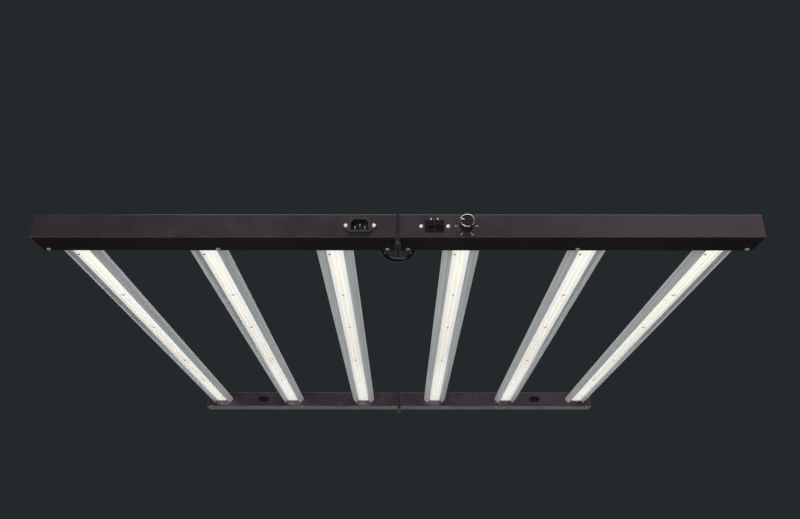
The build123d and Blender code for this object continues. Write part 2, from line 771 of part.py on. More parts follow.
def save_hinges():
    left = leaf_left()
    right = leaf_right()
    save("hinge_leaves_left", left, flip_y(left))
    save("hinge_leaves_right", right, flip_y(right))
    save("hinge_pins", hinge_pin(), flip_y(hinge_pin()))


def save_screws():
    sunk = cap_screw_places() + leaf_screw_places() + bar_screw_places()
    near = at(cover_screw_places(), pan_screw()) + at(sunk, screw())
    far = [flip_y(s) for s in near]
    save("case_screws_left", *near, *far)
    save("case_screws_right", *[flip_x(s) for s in near + far])


def save_bars():
    leds = {"left": [], "right": []}
    fixings = {"left": [], "right": []}
    centres = bar_xs() + [-x for x in reversed(bar_xs())]
    for number, x in enumerate(centres, start=1):
        half = "left" if x < 0 else "right"
        save(f"bar_{number}_body", bar_body(x))
        save(f"bar_{number}_boards", *bar_boards(x))
        save(f"bar_{number}_lens", bar_lens(x))
        leds[half] += led_rows(x)
        fixings[half] += board_screws(x)
    for half in ("left", "right"):
        save(f"led_rows_{half}", *leds[half])
        save(f"board_screws_{half}", *fixings[half])


def save_controls():
    save("power_inlet_body", inlet_body())
    save("power_inlet_pins", *inlet_pins())
    save("power_inlet_screws", *at(inlet_screw_places(), screw()))
    save("data_port_block", port_block())
    save("data_port_contacts", *port_contacts())
    save("data_port_screws", *at(port_screw_places(), screw()))
    save("dimmer_potentiometer", dimmer_pot())
    save("dimmer_knob_shaft", knob_shaft())
    save("dimmer_knob_body", knob_body())
    save("dimmer_knob_ring", knob_ring())
    save("control_board", control_board())


def save_the_rest():
    ym = (FRONT + NEAR_IN) / 2
    driver = driver_left()
    harness = harness_left()
    gland = gland_left()
    plug = plug_left()
    inserts = [insert_left(ym), insert_left(-ym)]
    save("driver_left", driver)
    save("driver_right", flip_x(driver))
    save("harness_left", *harness)
    save("harness_right", *[flip_x(h) for h in harness])
    save("lead_gland_left", gland)
    save("lead_gland_right", flip_x(gland))
    save("jumper_lead", jumper_lead())
    save("oval_plug_left", plug)
    save("oval_plug_right", flip_x(plug))
    save("hanging_inserts_left", *inserts)
    save("hanging_inserts_right", *[flip_x(i) for i in inserts])


os.makedirs("parts", exist_ok=True)
save_beams()
save_covers_and_caps()
save_hinges()
save_screws()
save_bars()
save_controls()
save_the_rest()
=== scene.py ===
import math

import bpy
from mathutils import Matrix, Vector


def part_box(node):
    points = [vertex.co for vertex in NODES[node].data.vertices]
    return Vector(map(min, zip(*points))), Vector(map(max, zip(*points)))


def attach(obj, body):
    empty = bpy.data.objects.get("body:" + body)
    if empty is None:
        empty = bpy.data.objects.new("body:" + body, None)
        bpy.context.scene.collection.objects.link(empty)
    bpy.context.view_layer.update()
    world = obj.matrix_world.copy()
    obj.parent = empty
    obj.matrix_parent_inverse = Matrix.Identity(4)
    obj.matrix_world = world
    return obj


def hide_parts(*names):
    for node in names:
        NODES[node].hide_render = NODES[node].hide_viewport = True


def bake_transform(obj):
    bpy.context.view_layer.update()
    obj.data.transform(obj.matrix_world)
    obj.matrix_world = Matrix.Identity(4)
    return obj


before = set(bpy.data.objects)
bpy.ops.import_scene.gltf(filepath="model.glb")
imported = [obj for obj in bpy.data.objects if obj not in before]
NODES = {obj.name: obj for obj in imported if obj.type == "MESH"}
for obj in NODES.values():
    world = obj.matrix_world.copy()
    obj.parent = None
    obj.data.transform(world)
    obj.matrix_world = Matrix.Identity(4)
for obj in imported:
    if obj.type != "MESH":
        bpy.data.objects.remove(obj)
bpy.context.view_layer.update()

# ---- camera, first, because the cord's check reads it ----

CAMERA_PLACE = Vector((0.00424, -1.50268, -0.44193))
CAMERA_YAW = math.radians(-0.059)
CAMERA_PITCH = math.radians(23.646)
CAMERA_ROLL = math.radians(0.047)
CAMERA_LENS = 33.861
CAMERA_SENSOR = 36.0


def make_camera():
    data = bpy.data.cameras.new("camera")
    data.lens = CAMERA_LENS
    data.sensor_width = CAMERA_SENSOR
    data.clip_start = 0.01
    data.clip_end = 50.0
    cam = bpy.data.objects.new("camera", data)
    bpy.context.scene.collection.objects.link(cam)
    turn = (
        Matrix.Rotation(-CAMERA_YAW, 4, "Z")
        @ Matrix.Rotation(math.pi / 2 + CAMERA_PITCH, 4, "X")
        @ Matrix.Rotation(CAMERA_ROLL, 4, "Z")
    )
    cam.matrix_world = Matrix.Translation(CAMERA_PLACE) @ turn
    bpy.context.scene.camera = cam


make_camera()

# ---- small tools ----


def link(obj):
    bpy.context.scene.collection.objects.link(obj)
    return obj


def mesh_piece(name, verts, faces, body, mats, smooth=False, face_mats=None):
    """A mesh that rides on a body, or on none when no body is given."""
    me = bpy.data.meshes.new(name)
    me.from_pydata([tuple(v) for v in verts], [], faces)
    me.validate()
    if smooth:
        me.polygons.foreach_set("use_smooth", [True] * len(me.polygons))
    for m in mats:
        me.materials.append(m)
    if face_mats is not None:
        me.polygons.foreach_set("material_index", face_mats)
    obj = link(bpy.data.objects.new(name, me))
    if body:
        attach(obj, body)
    return obj


class Shader:
    """A Principled material with helpers for its node tree."""

    def __init__(self, name):
        self.mat = bpy.data.materials.new(name)
        self.mat.use_nodes = True
        self.nt = self.mat.node_tree
        self.nt.nodes.clear()
        self.out = self.nt.nodes.new("ShaderNodeOutputMaterial")
        self.p = self.nt.nodes.new("ShaderNodeBsdfPrincipled")
        self.nt.links.new(self.p.outputs[0], self.out.inputs[0])
        self.where = self.nt.nodes.new("ShaderNodeTexCoord").outputs["Object"]

    def set(self, **values):
        """Values that are the same all over, on the shader's own sockets."""
        for key, value in values.items():
            self.p.inputs[key.replace("_", " ")].default_value = value

    def feed(self, name, socket):
        self.nt.links.new(socket, self.p.inputs[name])

    def vary(self, name, scale, low, high, stops=(0.3, 0.7), detail=3.0):
        """Feed a socket with a value or colour that drifts from low to high."""
        drift = self.noise(scale, detail)
        self.feed(name, self.ramp(drift, (stops[0], low), (stops[1], high)))

    def stretch(self, scale):
        n = self.nt.nodes.new("ShaderNodeMapping")
        n.inputs["Scale"].default_value = scale
        self.nt.links.new(self.where, n.inputs["Vector"])
        return n.outputs[0]

    def noise(self, scale, detail=3.0, rough=0.55, stretch=None):
        n = self.nt.nodes.new("ShaderNodeTexNoise")
        n.inputs["Scale"].default_value = scale
        n.inputs["Detail"].default_value = detail
        n.inputs["Roughness"].default_value = rough
        where = self.stretch(stretch) if stretch else self.where
        self.nt.links.new(where, n.inputs["Vector"])
        return n.outputs["Fac"]

    def ramp(self, fac, *stops):
        """A colour ramp. Each stop is a position with a colour or a grey value."""
        n = self.nt.nodes.new("ShaderNodeValToRGB")
        marks = n.color_ramp.elements
        while len(marks) < len(stops):
            marks.new(0.5)
        for mark, (at, colour) in zip(marks, stops):
            mark.position = at
            rgb = colour if isinstance(colour, (tuple, list)) else (colour,) * 3
            mark.color = (*rgb, 1.0)
        self.nt.links.new(fac, n.inputs[0])
        return n.outputs["Color"]

    def math(self, kind, a, b=0.0, clamp=False):
        n = self.nt.nodes.new("ShaderNodeMath")
        n.operation = kind
        n.use_clamp = clamp
        for i, v in enumerate((a, b)):
            if isinstance(v, (int, float)):
                n.inputs[i].default_value = v
            else:
                self.nt.links.new(v, n.inputs[i])
        return n.outputs[0]

    def mix(self, fac, a, b):
        """A blend of two colours. Sockets 6 and 7 take them, and output 2 gives the result."""
        n = self.nt.nodes.new("ShaderNodeMix")
        n.data_type = "RGBA"
        for socket, v in ((n.inputs["Factor"], fac), (n.inputs[6], a), (n.inputs[7], b)):
            if isinstance(v, (int, float)):
                socket.default_value = v
            elif isinstance(v, tuple):
                socket.default_value = (*v, 1.0)
            else:
                self.nt.links.new(v, socket)
        return n.outputs[2]

    def edges(self, radius, low=0.02, high=0.25):
        """1 along sharp edges within a radius, 0 on the flats."""
        bevel = self.nt.nodes.new("ShaderNodeBevel")
        bevel.samples = 4
        bevel.inputs["Radius"].default_value = radius
        geo = self.nt.nodes.new("ShaderNodeNewGeometry")
        dot = self.nt.nodes.new("ShaderNodeVectorMath")
        dot.operation = "DOT_PRODUCT"
        self.nt.links.new(bevel.outputs[0], dot.inputs[0])
        self.nt.links.new(geo.outputs["Normal"], dot.inputs[1])
        bent = self.math("SUBTRACT", 1.0, dot.outputs["Value"])
        return self.ramp(bent, (low, 0.0), (high, 1.0))

    def bump(self, height, strength, distance):
        n = self.nt.nodes.new("ShaderNodeBump")
        n.inputs["Strength"].default_value = strength
        n.inputs["Distance"].default_value = distance
        self.nt.links.new(height, n.inputs["Height"])
        self.nt.links.new(n.outputs[0], self.p.inputs["Normal"])

    def glow(self, colour, strength):
        """A glow that is seen but isn't sampled as a light."""
        self.set(Emission_Color=(*colour, 1.0), Emission_Strength=strength)
        self.mat.cycles.emission_sampling = "NONE"


def shades(base, low, high):
    """A darker and a lighter shade of a colour, none over 1."""
    return tuple(c * low for c in base), tuple(min(c * high, 1.0) for c in base)


def assign(mat, *names):
    for n in names:
        data = NODES[n].data
        data.materials.clear()
        data.materials.append(mat)


def bar_nodes(part):
    return [f"bar_{i}_{part}" for i in range(1, 7)]


# ---- finishes shared by several pieces ----

EVEN = (1, 1, 1)
FINE_LINES = (1, 0.1, 1)             # stretches noise into fine lines along Y


def paint(name, base, level, worn_and_highlight, rough=0.23):
    """Satin powder coat: fine orange peel, faint mottling, lighter edges that are partly wear
    and partly a painted highlight.
    """
    s = Shader(name)
    low, high = shades(base, 0.88, 1.14)
    colour = s.ramp(s.noise(14.0, 4.0), (0.3, low), (0.7, high))
    # Lighter edges: partly wear, partly a painted highlight along the edges.
    wear_and_highlight_mask = s.edges(0.0011)
    scuff_and_highlight = s.math("MULTIPLY", wear_and_highlight_mask, s.ramp(s.noise(55.0, 4.0), (0.25, 0.35), (0.75, 1.0)))
    s.feed("Base Color", s.mix(scuff_and_highlight, colour, worn_and_highlight))
    s.vary("Roughness", 30.0, rough - 0.04, rough + 0.05)
    s.bump(s.noise(1400.0, 2.0), 0.10, 0.00025)
    s.set(Specular_IOR_Level=level, Specular_Tint=(1.0, 0.84, 0.93, 1.0))
    return s.mat


def metal(name, base, rough, stretch, spread=0.12, scale=300.0, bump=0.04, metallic=1.0):
    """Metal with fine lines along one axis."""
    s = Shader(name)
    lines = s.noise(scale, 4.0, 0.6, stretch)
    low, high = shades(base, 1 - spread, 1 + spread)
    s.feed("Base Color", s.ramp(lines, (0.3, low), (0.7, high)))
    s.feed("Roughness", s.ramp(lines, (0.3, max(rough - 0.06, 0.02)), (0.7, rough + 0.08)))
    s.bump(lines, bump, 0.0002)
    s.set(Metallic=metallic)
    return s.mat


def plastic(name, base, rough, grain, bump=0.08, level=0.5, edge_highlight=None):
    """Moulded plastic: fine grain, slight colour drift, and a lighter tone along the edges as a
    painted highlight.
    """
    s = Shader(name)
    low, high = shades(base, 0.85, 1.15)
    colour = s.ramp(s.noise(60.0, 3.0), (0.3, low), (0.7, high))
    # Painted highlight: a lighter tone along the edges.
    if edge_highlight:
        colour = s.mix(s.edges(0.0006), colour, edge_highlight)
    s.feed("Base Color", colour)
    s.vary("Roughness", 120.0, max(rough - 0.05, 0.02), rough + 0.07)
    s.bump(s.noise(grain, 2.0), bump, 0.00015)
    s.set(Specular_IOR_Level=level)
    return s.mat


# ---- finishes of single kinds of piece ----


def hinge_finish():
    """The beams' powder coat, darker here as painted shade for the fold and the gap between the
    leaves, rubbed thin along the leaves and the knuckles; its lighter edges are partly bare
    metal and partly a painted highlight.
    """
    s = Shader("hinge_paint")
    # Darker than the beams' coat: painted shade for the fold and the gap between the leaves.
    dark = s.ramp(s.noise(30.0), (0.3, (0.010, 0.008, 0.009)), (0.7, (0.015, 0.012, 0.013)))
    rubbed = s.ramp(s.noise(90.0, 4.0, 0.6, (1, 1, 0.2)), (0.45, 0.0), (0.75, 0.5))
    colour = s.mix(rubbed, dark, (0.020, 0.017, 0.018))
    # Lighter edges: partly bare metal, partly a painted highlight.
    s.feed("Base Color", s.mix(s.edges(0.0003), colour, (0.05, 0.045, 0.047)))
    s.vary("Roughness", 80.0, 0.34, 0.46)
    s.bump(s.noise(1200.0), 0.06, 0.0002)
    s.set(Specular_IOR_Level=0.1)
    return s.mat


def screw_plate():
    """Pale zinc plate, satin, with fine mottling and painted shade in the cross and round the
    head's edges.
    """
    s = Shader("screw_plate")
    grain = s.noise(900.0, 3.0)
    colour = s.ramp(grain, (0.3, (0.56, 0.51, 0.43)), (0.7, (0.66, 0.61, 0.52)))
    # Painted shade: darker in the cross and round the head's edges.
    s.feed("Base Color", s.mix(s.edges(0.0005, 0.03, 0.3), colour, (0.20, 0.18, 0.16)))
    s.feed("Roughness", s.ramp(grain, (0.3, 0.34), (0.7, 0.44)))
    s.bump(grain, 0.03, 0.0001)
    s.set(Metallic=0.55)
    return s.mat


def extrusion():
    """Satin anodised aluminium with faint die lines along Y and a soft cloudiness."""
    s = Shader("bar_aluminium")
    lines = s.noise(320.0, 3.0, 0.6, (1.0, 0.006, 1.0))
    cloud = s.noise(9.0, 3.0)
    colour = s.ramp(lines, (0.35, (0.60, 0.63, 0.62)), (0.65, (0.76, 0.785, 0.775)))
    colour = s.mix(s.ramp(cloud, (0.35, 0.0), (0.75, 0.25)), colour, (0.58, 0.61, 0.60))
    s.feed("Base Color", colour)
    s.feed("Roughness", s.ramp(lines, (0.3, 0.40), (0.7, 0.52)))
    s.bump(lines, 0.06, 0.0002)
    s.set(Metallic=0.45)
    return s.mat


def solder_mask():
    """Satin white board with faint copper areas under the mask, and a painted glow that makes it
    look lit though it is no lamp.
    """
    s = Shader("board_white_glowing")
    copper = s.noise(240.0, 2.0, 0.5, (0.4, 0.05, 1.0))
    s.feed("Base Color", s.ramp(copper, (0.46, (0.80, 0.81, 0.83)), (0.54, (0.86, 0.865, 0.88))))
    s.vary("Roughness", 90.0, 0.30, 0.42)
    s.bump(copper, 0.15, 0.00006)
    # Painted light: the board glows though it is no lamp.
    s.glow((0.995, 0.985, 1.0), 0.52)
    return s.mat


def clear_cover():
    """Thin clear plastic: see-through head on, mirror-like at a glancing view, with
    faint draw lines along Y."""
    s = Shader("lens_clear")
    lines = s.noise(160.0, 2.0, 0.5, (1.0, 0.01, 1.0))
    s.feed("Roughness", s.ramp(lines, (0.3, 0.07), (0.7, 0.10)))
    s.set(Metallic=1.0, Base_Color=(0.97, 0.985, 1.0, 1.0))
    facing = s.nt.nodes.new("ShaderNodeLayerWeight")
    facing.inputs["Blend"].default_value = 0.5
    glance = s.math("POWER", facing.outputs["Facing"], 5.0)
    s.feed("Alpha", s.math("ADD", s.math("MULTIPLY", glance, 0.8), 0.02, clamp=True))
    return s.mat


def finish_nodes():
    """A material for every CAD node that stays visible."""
    beam_coat = paint("beam_powder_coat", (0.0235, 0.0180, 0.0215), 0.5, (0.034, 0.028, 0.032))
    assign(beam_coat, *[n for n in NODES if "_beam_" in n or n.startswith("end_caps")])
    # Painted shade and highlight: the covers' coat is darker than the beams' so the undersides
    # stay in shade, and its light edge tone is a painted highlight along the lower edges.
    cover_coat_shaded = paint("cover_powder_coat_shaded", (0.0090, 0.0064, 0.0074), 0.2, (0.17, 0.16, 0.165))
    assign(cover_coat_shaded, *[n for n in NODES if "_cover_" in n])
    assign(hinge_finish(), "hinge_leaves_left", "hinge_leaves_right")
    assign(metal("blackened_pin", (0.09, 0.08, 0.082), 0.42, FINE_LINES), "hinge_pins")
    steel = metal("turned_steel", (0.62, 0.61, 0.60), 0.3, FINE_LINES)
    assign(steel, "dimmer_knob_shaft", "dimmer_potentiometer")
    screws = [n for n in NODES if n.endswith("_screws") or n.startswith("case_screws")]
    assign(screw_plate(), *screws)
    brass = metal("board_screw", (0.42, 0.36, 0.30), 0.35, EVEN, 0.1, 700.0, 0.03)
    assign(brass, "board_screws_left", "board_screws_right")
    pin = metal("inlet_pin", (0.34, 0.33, 0.30), 0.32, FINE_LINES, 0.04, 500.0, metallic=0.6)
    assign(pin, "power_inlet_pins")
    zinc = metal("insert_zinc", (0.6, 0.6, 0.56), 0.38, EVEN, 0.1, 220.0)
    assign(zinc, "hanging_inserts_left", "hanging_inserts_right")
    assign(extrusion(), *bar_nodes("body"))
    assign(solder_mask(), *bar_nodes("boards"))
    assign(clear_cover(), *bar_nodes("lens"))
    inlet = plastic(
        "inlet_black", (0.013, 0.0115, 0.0125), 0.36, 1200.0,
        level=0.35, edge_highlight=(0.03, 0.027, 0.029),
    )
    assign(inlet, "power_inlet_body")
    port = plastic(
        "port_black", (0.005, 0.005, 0.006), 0.20, 1500.0,
        bump=0.03, level=0.4, edge_highlight=(0.02, 0.02, 0.022),
    )
    assign(port, "data_port_block")
    gold = metal("contact_gold", (0.24, 0.16, 0.08), 0.34, FINE_LINES, 0.08, 400.0)
    assign(gold, "data_port_contacts")
    knob = plastic(
        "knob_black", (0.0055, 0.005, 0.0055), 0.30, 1100.0,
        bump=0.06, level=0.2, edge_highlight=(0.012, 0.012, 0.012),
    )
    assign(knob, "dimmer_knob_body")
    chrome = metal("knob_chrome", (0.74, 0.72, 0.72), 0.08, EVEN, 0.03, 60.0, 0.01)
    assign(chrome, "dimmer_knob_ring")
    assign(plastic("board_green", (0.02, 0.13, 0.05), 0.3, 500.0, bump=0.1), "control_board")
    case = metal("driver_case", (0.55, 0.56, 0.56), 0.4, (0.01, 1, 1), 0.1, 500.0)
    assign(case, "driver_left", "driver_right")
    wire = plastic("harness_white", (0.7, 0.7, 0.68), 0.45, 700.0)
    assign(wire, "harness_left", "harness_right")
    nylon = plastic(
        "gland_nylon", (0.012, 0.011, 0.012), 0.38, 900.0, edge_highlight=(0.04, 0.04, 0.04),
    )
    assign(nylon, "lead_gland_left", "lead_gland_right")
    rubber = plastic(
        "plug_rubber", (0.0025, 0.0022, 0.0025), 0.5, 700.0,
        bump=0.12, level=0.1, edge_highlight=(0.006, 0.006, 0.006),
    )
    assign(rubber, "oval_plug_left", "oval_plug_right")


finish_nodes()

# ---- jumper lead across the fold ----

LEAD_DIAMETER = 0.0068
LEAD_ROUTE = [
    (-0.0260, -0.49485, 0.0233),
    (-0.0260, -0.47485, 0.0233),
    (-0.0130, -0.46085, 0.0139),
    (0.0130, -0.46085, 0.0139),
    (0.0260, -0.47485, 0.0233),
    (0.0260, -0.49485, 0.0233),
]
LEAD_STEPS = 16                      # points read for each stretch of the spline


def spline_points(route, steps):
    """Points read from a smooth NURBS line through a route, from end to end."""
    data = bpy.data.curves.new("route", "CURVE")
    data.dimensions = "3D"
    data.resolution_u = steps
    line = data.splines.new("NURBS")
    line.points.add(len(route) - 1)
    for point, place in zip(line.points, route):
        point.co = (*place, 1.0)
    line.order_u = 3
    line.use_endpoint_u = True
    holder = link(bpy.data.objects.new("route", data))
    bpy.context.view_layer.update()
    thin = bpy.data.meshes.new_from_object(holder)
    found = [Vector(v.co) for v in thin.vertices]
    bpy.data.objects.remove(holder)
    bpy.data.curves.remove(data)
    bpy.data.meshes.remove(thin)
    return found


def tube(path, radius, around=24):
    """Rings along a path, kept from twisting, with closed ends."""
    verts, faces = [], []
    side = Vector((0, 0, 1))
    for i, at in enumerate(path):
        ahead = path[min(i + 1, len(path) - 1)] - path[max(i - 1, 0)]
        ahead.normalize()
        side = (side - ahead * side.dot(ahead)).normalized()
        other = ahead.cross(side)
        for k in range(around):
            turn = 2 * math.pi * k / around
            verts.append(at + (side * math.cos(turn) + other * math.sin(turn)) * radius)
    for i in range(len(path) - 1):
        for k in range(around):
            a = i * around + k
            b = i * around + (k + 1) % around
            faces.append((a, b, b + around, a + around))
    faces.append(tuple(reversed(range(around))))
    last = (len(path) - 1) * around
    faces.append(tuple(range(last, last + around)))
    return verts, faces


def lead_sheath():
    """Smooth, glossy black sheath."""
    s = Shader("lead_sheath")
    s.vary("Base Color", 150.0, (0.004, 0.0032, 0.004), (0.007, 0.006, 0.007))
    s.vary("Roughness", 220.0, 0.10, 0.15)
    s.bump(s.noise(900.0), 0.05, 0.0002)
    s.set(Specular_IOR_Level=0.4)
    return s.mat


def make_lead():
    path = spline_points(LEAD_ROUTE, LEAD_STEPS)
    verts, faces = tube(path, LEAD_DIAMETER / 2)
    mats = [lead_sheath()]
    lead = mesh_piece("jumper_lead_sheath", verts, faces, None, mats, smooth=True)
    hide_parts("jumper_lead")
    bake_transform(lead)


make_lead()

# ---- LED emitters: white packages with a phosphor window, in place of the plain strips ----

CHIP_WIDE = 0.0024
CHIP_LONG = 0.0029
CHIP_PITCH = 0.0030
CHIP_PROUD = 0.00058
# Rings of an emitter from its foot down: shares of its half width, half length and height,
# and the corners' cut
CHIP_RINGS = (
    (1.0, 1.0, 0.0, 0.0003),
    (1.0, 1.0, 0.72, 0.0003),
    (0.88, 0.93, 0.86, 0.0003),
    (0.82, 0.90, 0.80, 0.0004),
    (0.45, 0.60, 0.97, 0.0003),
)
CASE, WINDOW = 0, 1                  # an emitter's materials
WINDOW_FROM = 3                      # the ring where the window starts

HALVES = (("left", (1, 2, 3)), ("right", (4, 5, 6)))
LED_SIDE = 0.0041                    # from a board's middle to each LED row


def phosphor():
    s = Shader("led_phosphor")
    s.vary("Base Color", 900.0, (1.0, 0.86, 0.50), (1.0, 0.90, 0.60))
    s.vary("Roughness", 500.0, 0.12, 0.22)
    s.glow((1.0, 0.84, 0.52), 0.78)
    return s.mat


def package():
    s = Shader("led_package")
    s.vary("Base Color", 300.0, (0.88, 0.83, 0.68), (0.92, 0.88, 0.75))
    s.vary("Roughness", 200.0, 0.4, 0.5)
    s.glow((1.0, 0.88, 0.66), 0.62)
    return s.mat


def chip_shape():
    """One emitter, its foot at z = 0 and its light-giving face below: a chamfered case
    and a domed window."""
    verts, faces, kinds = [], [], []
    starts = []
    for wide, long, deep, cut in CHIP_RINGS:
        starts.append(len(verts))
        half_x, half_y = CHIP_WIDE / 2 * wide, CHIP_LONG / 2 * long
        z = -CHIP_PROUD * deep
        for sx, sy in ((1, -1), (1, 1), (-1, 1), (-1, -1)):
            a = (sx * half_x, sy * (half_y - cut), z)
            b = (sx * (half_x - cut), sy * half_y, z)
            verts.extend((a, b) if sx * sy > 0 else (b, a))
    for level, (a, b) in enumerate(zip(starts, starts[1:])):
        for k in range(8):
            n = (k + 1) % 8
            faces.append((a + k, b + k, b + n, a + n))
            kinds.append(WINDOW if level == WINDOW_FROM else CASE)
    faces.append(tuple(starts[-1] + k for k in range(8)))
    kinds.append(WINDOW)
    faces.append(tuple(starts[0] + k for k in reversed(range(8))))
    kinds.append(CASE)
    return verts, faces, kinds


def strip_spans():
    """The solid stretches of the plain LED strips in Y, found from their CAD mesh."""
    ys = sorted({round(v.co.y, 5) for v in NODES["led_rows_left"].data.vertices})
    return list(zip(ys[0::2], ys[1::2]))


def board_face():
    """The height of the boards' lower face, which is the same for every bar."""
    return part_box("bar_1_boards")[0].z


def led_rows(bars):
    """The X of each LED row on some bars."""
    for bar in bars:
        low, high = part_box(f"bar_{bar}_boards")
        for side in (-LED_SIDE, LED_SIDE):
            yield (low.x + high.x) / 2 + side


def make_chips():
    mats = [package(), phosphor()]
    shape, shape_faces, shape_kinds = chip_shape()
    face = board_face()
    for half, bars in HALVES:
        verts, faces, kinds = [], [], []
        for x in led_rows(bars):
            for y0, y1 in strip_spans():
                count = max(1, int((y1 - y0) / CHIP_PITCH))
                step = (y1 - y0) / count
                for i in range(count):
                    y = y0 + (i + 0.5) * step
                    start = len(verts)
                    verts.extend((x + a, y + b, face + c) for a, b, c in shape)
                    faces.extend(tuple(start + k for k in f) for f in shape_faces)
                    kinds.extend(shape_kinds)
        body = f"{half}_half"
        chips = mesh_piece(
            f"led_chips_{half}", verts, faces, body, mats, face_mats=kinds
        )
        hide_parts(f"led_rows_{half}")


make_chips()

# ---- solder pads at the breaks in the LED rows ----

BREAK_LEAST, BREAK_MOST = 0.002, 0.012
PAD_HALF = (0.0011, 0.0007)
PAD_HIGH = 0.0003
PAD_SUNK = 0.00002                   # into the board, so that no gap shows
DOME_RINGS = ((1.0, 0.0), (0.85, 0.6), (0.5, 0.92))     # shares of half size and height


def solder_tin():
    s = Shader("solder_tin")
    s.vary("Base Color", 600.0, (0.50, 0.49, 0.48), (0.62, 0.61, 0.60))
    s.vary("Roughness", 400.0, 0.25, 0.4)
    s.bump(s.noise(900.0), 0.1, 0.0001)
    s.set(Metallic=0.8)
    return s.mat


def dome(middle, half, high, around=10):
    """A low mound under the board, oval in plan: three shrinking rings and a flat tip."""
    verts, faces = [], []
    for share, down in DOME_RINGS:
        for k in range(around):
            turn = 2 * math.pi * k / around
            x, y = half[0] * share * math.cos(turn), half[1] * share * math.sin(turn)
            verts.append(middle + Vector((x, y, -high * down)))
    tip = len(DOME_RINGS) - 1
    for level in range(tip):
        for k in range(around):
            a, b = level * around + k, level * around + (k + 1) % around
            faces.append((a, a + around, b + around, b))
    faces.append(tuple(reversed(range(tip * around, (tip + 1) * around))))
    faces.append(tuple(range(around)))
    return verts, faces


def make_pads():
    spans = strip_spans()
    breaks = [
        (a[1] + b[0]) / 2
        for a, b in zip(spans, spans[1:])
        if BREAK_LEAST < b[0] - a[1] < BREAK_MOST
    ]
    mats = [solder_tin()]
    for half, bars in HALVES:
        verts, faces = [], []
        for x in led_rows(bars):
            for y in breaks:
                middle = Vector((x, y, board_face() + PAD_SUNK))
                pad, pad_faces = dome(middle, PAD_HALF, PAD_HIGH)
                faces.extend(tuple(len(verts) + k for k in f) for f in pad_faces)
                verts.extend(pad)
        body = f"{half}_half"
        mesh_piece(f"solder_pads_{half}", verts, faces, body, mats, smooth=True)


make_pads()

# ---- printed marks and the knob's pointer ----

INK_THICK = 0.00005
TICKS = 11
DIAL_START, DIAL_END = 240, -60      # degrees from +X towards +Z, seen from the front
DIAL_R = 0.0119
TICK_LONG = 0.0016
TICK_WIDE = 0.0005
TICK_SHORT = 0.65                    # a short tick's share of a long one
NUMBER_R = 0.0155
NUMBER_HIGH = 0.0026
FONT_SHARE = 1.35                    # font size for a digit's height
ARROW_SINK = 0.0002                  # from the inlet's top down to an arrow's middle
ARROW_HEAD = 0.0016
ARROW_HALF = 0.0013
STEM_LONG = 0.0014
STEM_HALF = 0.0004
POINTER_ANGLE = 158                  # degrees, measured as the dial's
POINTER_R = 0.0063
POINTER_LONG = 0.0036
POINTER_WIDE = 0.0010
POINTER_SUNK = INK_THICK * 0.4       # so that the fill is nearly level with the face


def ink():
    s = Shader("print_white")
    s.vary("Base Color", 1500.0, (0.55, 0.54, 0.53), (0.78, 0.77, 0.76), stops=(0.35, 0.65))
    s.vary("Roughness", 300.0, 0.45, 0.6)
    return s.mat


def polar(centre, r, angle):
    return centre[0] + r * math.cos(angle), centre[1] + r * math.sin(angle)


class Print:
    """Thin raised shapes on a face that looks along -Y, gathered into one mesh."""

    def __init__(self, face_y):
        self.face_y = face_y
        self.verts, self.faces = [], []

    def shape(self, outline):
        """A closed outline of (x, z) points, anticlockwise as seen from the front."""
        start, n = len(self.verts), len(outline)
        self.verts += [(x, self.face_y - INK_THICK, z) for x, z in outline]
        self.verts += [(x, self.face_y + INK_THICK, z) for x, z in outline]
        self.faces.append(tuple(start + k for k in range(n)))
        self.faces.append(tuple(start + n + k for k in reversed(range(n))))
        for k in range(n):
            m = (k + 1) % n
            self.faces.append((start + k, start + n + k, start + n + m, start + m))

    def bar(self, middle, angle, long, wide):
        """A bar with its length along an angle. Each end is a half circle in six steps."""
        along = Vector((math.cos(angle), math.sin(angle)))
        across = Vector((-along.y, along.x))
        outline = []
        for end, first in ((1, -90), (-1, 90)):
            centre = Vector(middle) + along * end * (long - wide) / 2
            for step in range(7):
                turn = math.radians(first + step * 30)
                reach = along * math.cos(turn) + across * math.sin(turn)
                outline.append(centre + reach * wide / 2)
        self.shape([tuple(p) for p in outline])

    def number(self, text, middle, high):
        data = bpy.data.curves.new("number", "FONT")
        data.body = text
        data.size = high * FONT_SHARE
        data.align_x = "CENTER"
        data.align_y = "CENTER"
        data.extrude = INK_THICK
        data.resolution_u = 3
        holder = link(bpy.data.objects.new("number", data))
        bpy.context.view_layer.update()
        made = bpy.data.meshes.new_from_object(holder)
        start = len(self.verts)
        self.verts += [
            (middle[0] + v.co.x, self.face_y - v.co.z, middle[1] + v.co.y)
            for v in made.vertices
        ]
        self.faces += [tuple(start + k for k in f.vertices) for f in made.polygons]
        bpy.data.objects.remove(holder)
        bpy.data.curves.remove(data)
        bpy.data.meshes.remove(made)

    def piece(self, name, body, mat):
        return mesh_piece(name, self.verts, self.faces, body, [mat])


def knob_middle():
    """The knob's axis, as X and Z."""
    low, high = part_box("dimmer_knob_ring")
    return (low.x + high.x) / 2, (low.z + high.z) / 2


def make_dial(mat):
    """Eleven ticks round the knob, with even numbers outside them."""
    centre = knob_middle()
    scale = Print(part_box("near_beam_right")[0].y)
    for i in range(TICKS):
        angle = math.radians(DIAL_START + (DIAL_END - DIAL_START) * i / (TICKS - 1))
        even = i % 2 == 0
        long = TICK_LONG * (1.0 if even else TICK_SHORT)
        scale.bar(polar(centre, DIAL_R + long / 2, angle), angle, long, TICK_WIDE)
        if even:
            scale.number(str(i), polar(centre, NUMBER_R, angle), NUMBER_HIGH)
    scale.piece("dial_scale", "right_half", mat)


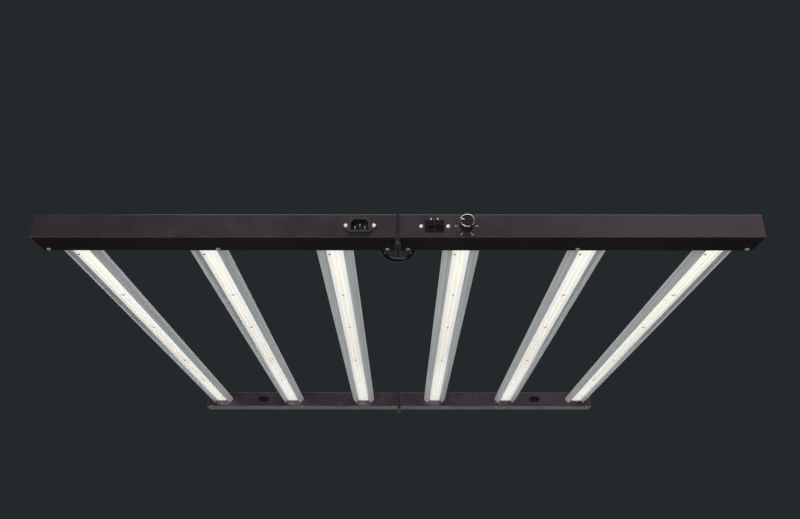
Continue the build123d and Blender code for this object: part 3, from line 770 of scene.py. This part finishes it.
def make_port_arrows(mat):
    """A plain arrow over each data port: the left one points down, the right one up."""
    low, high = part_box("data_port_contacts")
    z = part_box("power_inlet_body")[1].z - ARROW_SINK
    arrows = Print(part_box("near_beam_right")[0].y)
    centre = (low.x + high.x) / 2
    for side in (-1, 1):
        x = centre + side * (centre - low.x) * 0.5      # the middle of a port's contacts
        head = [(x - ARROW_HALF, z), (x + ARROW_HALF, z), (x, z + side * ARROW_HEAD)]
        arrows.shape(head if side > 0 else head[::-1])
        z0, z1 = sorted((z, z - side * STEM_LONG))
        x0, x1 = x - STEM_HALF, x + STEM_HALF
        arrows.shape([(x0, z0), (x1, z0), (x1, z1), (x0, z1)])
    arrows.piece("port_arrows", "right_half", mat)


def make_pointer(mat):
    """White fill in the groove of the knob's face."""
    angle = math.radians(POINTER_ANGLE)
    fill = Print(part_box("dimmer_knob_body")[0].y + POINTER_SUNK)
    fill.bar(polar(knob_middle(), POINTER_R, angle), angle, POINTER_LONG, POINTER_WIDE)
    fill.piece("knob_pointer", "dimmer_knob", mat)


def make_prints():
    mat = ink()
    make_dial(mat)
    make_port_arrows(mat)
    make_pointer(mat)


make_prints()

# ---- studio ----

BACKGROUND = (0.0178, 0.0222, 0.0242, 1.0)
FLOOR_Z = -3.6
FLOOR_HALF = 30.0
WHITE = (1, 1, 1)
COOL = (0.95, 0.98, 1.0)
# Name, place, point aimed at, size, watts and colour
LIGHTS = (
    ("front_high", (0.3, -1.9, 1.6), (0.2, -0.5, 0), (3.0, 0.8), 44, WHITE),
    ("front_low", (-0.5, -2.6, -0.5), (0, -0.5, 0), (2.4, 0.6), 34, WHITE),
    ("front_box", (1.9, -2.8, 1.2), (0, -0.5, 0), (2.6, 0.7), 4.6, WHITE),
    ("top", (0, 0, 2.4), (0, 0, 0), (2.4, 2.4), 9, WHITE),
    ("back_panel", (0, 2.6, -0.43), (0, 0, -0.43), (3.4, 0.46), 2.4, COOL),
    ("back_high", (0, 2.6, 0.7), (0, 0, 0.1), (5.0, 1.8), 11, WHITE),
    ("low_left", (-3.0, 0.2, -0.8), (0, 0, 0), (1.2, 0.8), 27, WHITE),
    ("low_right", (3.0, 0.2, -0.8), (0, 0, 0), (1.2, 0.8), 27, WHITE),
    ("floor_wash", (0, 0, -1.0), (0, 0, -3.0), (14.0, 14.0), 560, WHITE),
)


def area(name, place, aim, size, power, colour):
    data = bpy.data.lights.new(name, "AREA")
    data.shape = "RECTANGLE"
    data.size, data.size_y = size
    data.energy = power
    data.color = colour
    lamp = link(bpy.data.objects.new(name, data))
    lamp.location = place
    lamp.rotation_mode = "QUATERNION"
    lamp.rotation_quaternion = (Vector(aim) - Vector(place)).to_track_quat("-Z", "Y")
    lamp.visible_camera = False


def pale_floor():
    s = Shader("floor_pale")
    s.vary("Base Color", 1.5, (0.60, 0.60, 0.59), (0.64, 0.64, 0.63))
    s.vary("Roughness", 6.0, 0.8, 0.9)
    s.set(Specular_IOR_Level=0.1)
    return s.mat


def make_floor():
    """A pale floor that gloss doesn't mirror, so the beams' undersides stay dark."""
    floor = bpy.data.meshes.new("floor")
    corners = [(-1, -1), (1, -1), (1, 1), (-1, 1)]
    places = [(x * FLOOR_HALF, y * FLOOR_HALF, FLOOR_Z) for x, y in corners]
    floor.from_pydata(places, [], [(0, 1, 2, 3)])
    floor.materials.append(pale_floor())
    plane = link(bpy.data.objects.new("floor", floor))
    plane.visible_glossy = False


def make_studio():
    scene = bpy.context.scene
    scene.view_settings.view_transform = "Standard"
    world = bpy.data.worlds.new("studio")
    scene.world = world
    world.use_nodes = True
    world.node_tree.nodes["Background"].inputs["Color"].default_value = BACKGROUND
    make_floor()
    for light in LIGHTS:
        area(*light)


make_studio()
